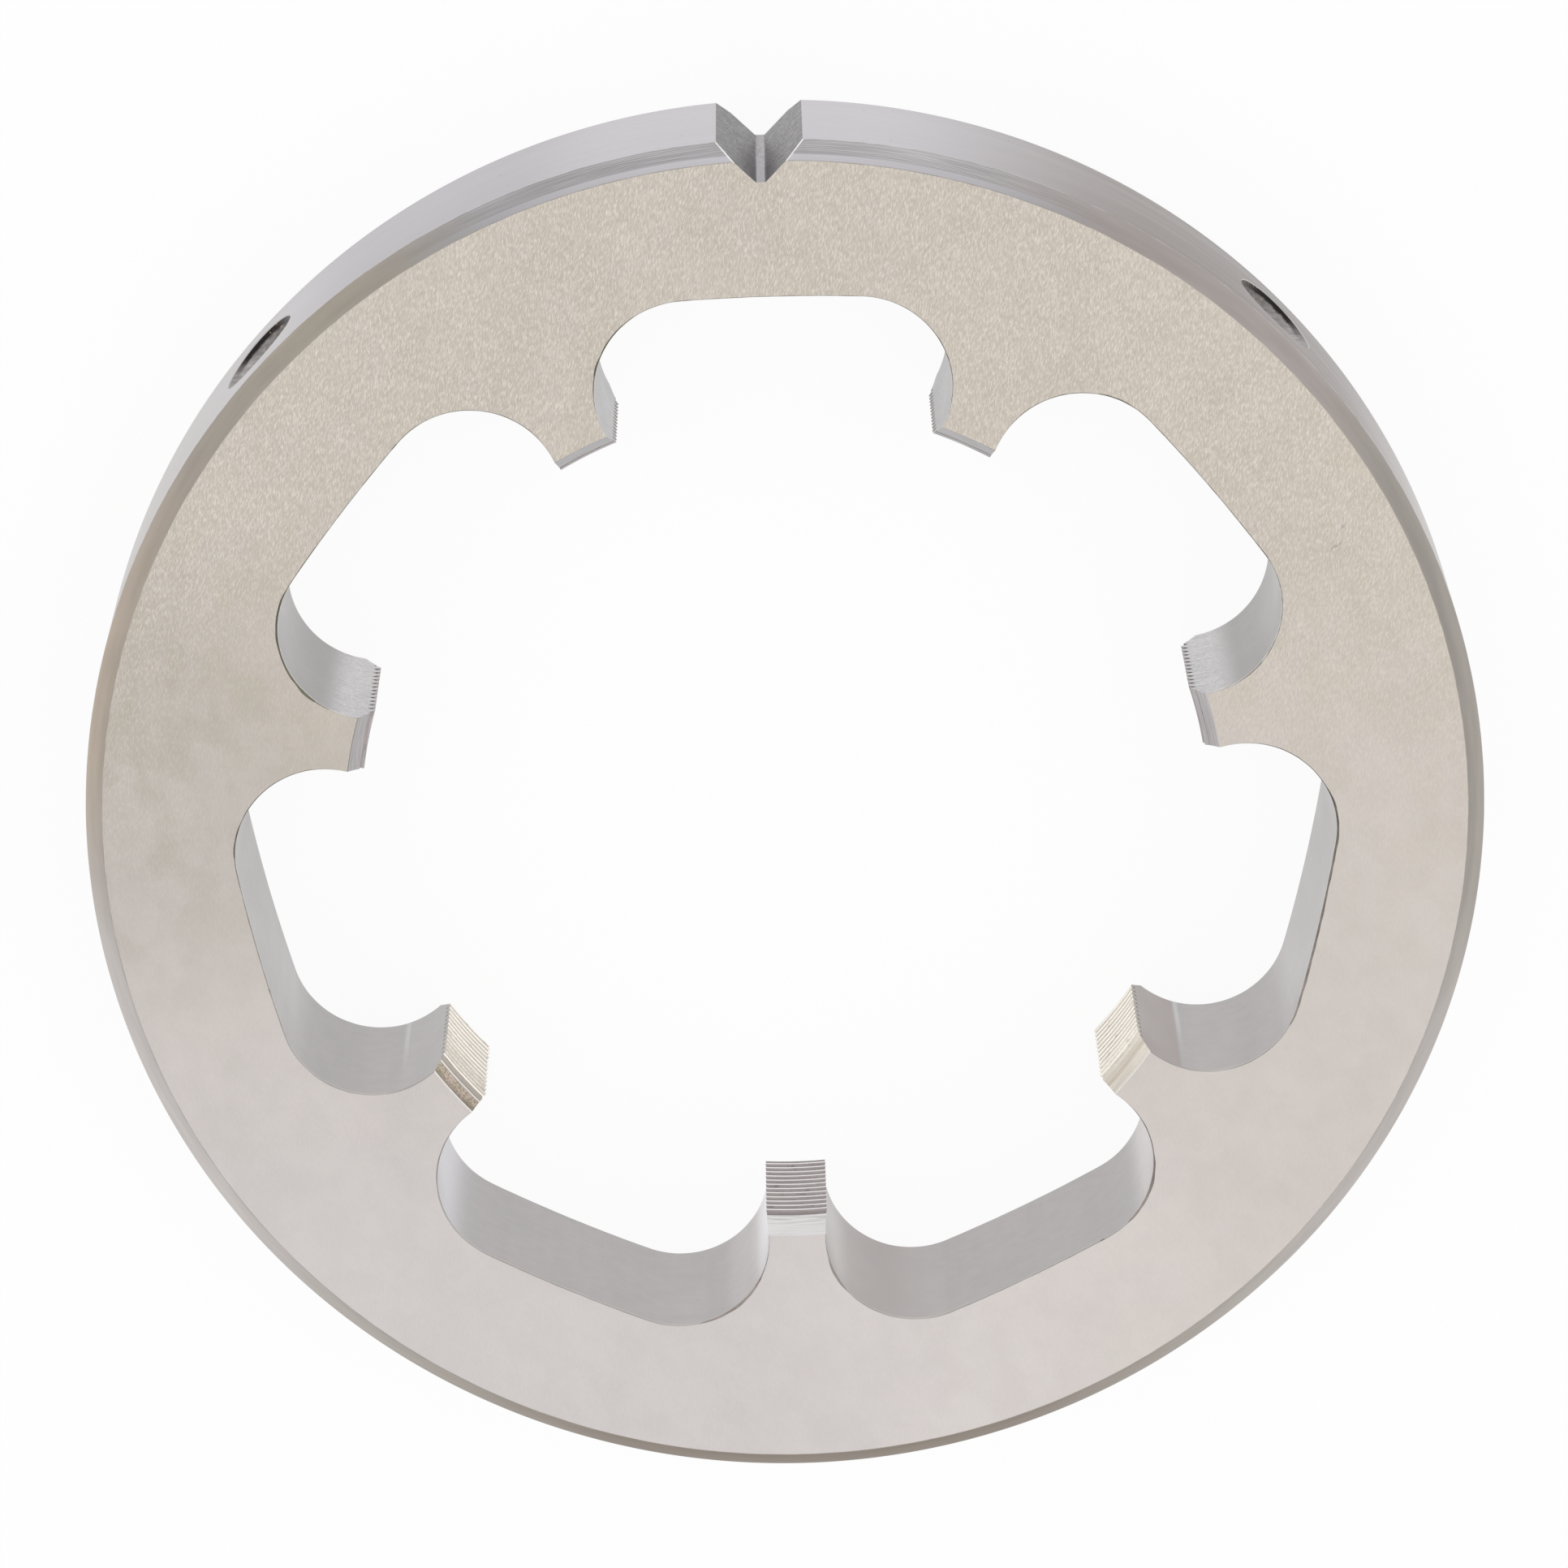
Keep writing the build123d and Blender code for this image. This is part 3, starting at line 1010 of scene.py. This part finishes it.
def floor():
    """A pale floor that the camera and gloss see as plain white, with the die's shadow on it."""
    mesh = bpy.data.meshes.new("floor")
    reach, level = floor_reach * MM, -floor_clearance * MM
    corners = [(x * reach, y * reach, level) for x, y in ((-1, -1), (1, -1), (1, 1), (-1, 1))]
    mesh.from_pydata(corners, [], [(0, 1, 2, 3)])
    ground = bpy.data.objects.new("floor", mesh)
    bpy.context.scene.collection.objects.link(ground)
    material = bpy.data.materials.new("floor")
    material.use_nodes = True
    tree = material.node_tree
    tree.nodes.clear()
    output = tree.nodes.new("ShaderNodeOutputMaterial")
    mix = tree.nodes.new("ShaderNodeMixShader")
    diffuse = tree.nodes.new("ShaderNodeBsdfDiffuse")
    diffuse.inputs["Color"].default_value = (floor_white, floor_white, floor_white, 1)
    glow = tree.nodes.new("ShaderNodeEmission")
    path = tree.nodes.new("ShaderNodeLightPath")
    seen = tree.nodes.new("ShaderNodeMath")
    seen.operation = "MAXIMUM"
    share = tree.nodes.new("ShaderNodeMath")
    share.operation = "MULTIPLY"
    share.inputs[1].default_value = floor_glow
    tree.links.new(path.outputs["Is Camera Ray"], seen.inputs[0])
    tree.links.new(path.outputs["Is Glossy Ray"], seen.inputs[1])
    tree.links.new(seen.outputs[0], share.inputs[0])
    tree.links.new(share.outputs[0], mix.inputs["Fac"])
    tree.links.new(diffuse.outputs[0], mix.inputs[1])
    tree.links.new(glow.outputs[0], mix.inputs[2])
    tree.links.new(mix.outputs[0], output.inputs["Surface"])
    mesh.materials.append(material)


def light():
    """A soft white surround with the soft boxes in it, which the camera sees as plain white."""
    world = bpy.data.worlds.new("studio")
    bpy.context.scene.world = world
    world.use_nodes = True
    tree = world.node_tree
    way = tree.nodes.new("ShaderNodeTexCoord").outputs["Generated"]
    strength = None
    for direction, outer, inner, power in soft_boxes:
        lean = tree.nodes.new("ShaderNodeVectorMath")
        lean.operation = "DOT_PRODUCT"
        lean.inputs[1].default_value = Vector(direction).normalized()
        glow = tree.nodes.new("ShaderNodeMapRange")
        glow.interpolation_type = "SMOOTHSTEP"
        for socket, value in zip(list(glow.inputs)[1:5], (outer, inner, 0, power)):
            socket.default_value = value
        added = tree.nodes.new("ShaderNodeMath")
        tree.links.new(way, lean.inputs[0])
        tree.links.new(lean.outputs["Value"], glow.inputs[0])
        if strength is None:
            added.inputs[0].default_value = surround_strength
        else:
            tree.links.new(strength, added.inputs[0])
        tree.links.new(glow.outputs[0], added.inputs[1])
        strength = added.outputs[0]
    seen = tree.nodes.new("ShaderNodeMath")
    seen.operation = "MAXIMUM"
    tree.links.new(tree.nodes.new("ShaderNodeLightPath").outputs["Is Camera Ray"], seen.inputs[0])
    tree.links.new(strength, seen.inputs[1])
    tree.links.new(seen.outputs[0], tree.nodes["Background"].inputs["Strength"])
    tree.nodes["Background"].inputs["Color"].default_value = (1, 1, 1, 1)


def camera():
    """The photograph's view: from above and a little from the notch's side."""
    data = bpy.data.cameras.new("camera")
    data.sensor_width = camera_sensor
    data.lens = camera_lens
    eye = bpy.data.objects.new("camera", data)
    bpy.context.scene.collection.objects.link(eye)
    right = Vector(camera_right).normalized()
    up = Vector(camera_up)
    up = (up - right * up.dot(right)).normalized()
    back = right.cross(up)
    turn = Matrix((right, up, back)).transposed().to_4x4()
    eye.matrix_world = Matrix.Translation(Vector(camera_place) * MM) @ turn
    bpy.context.scene.camera = eye


floor()
light()
camera()
bpy.context.scene.view_settings.view_transform = "Standard"
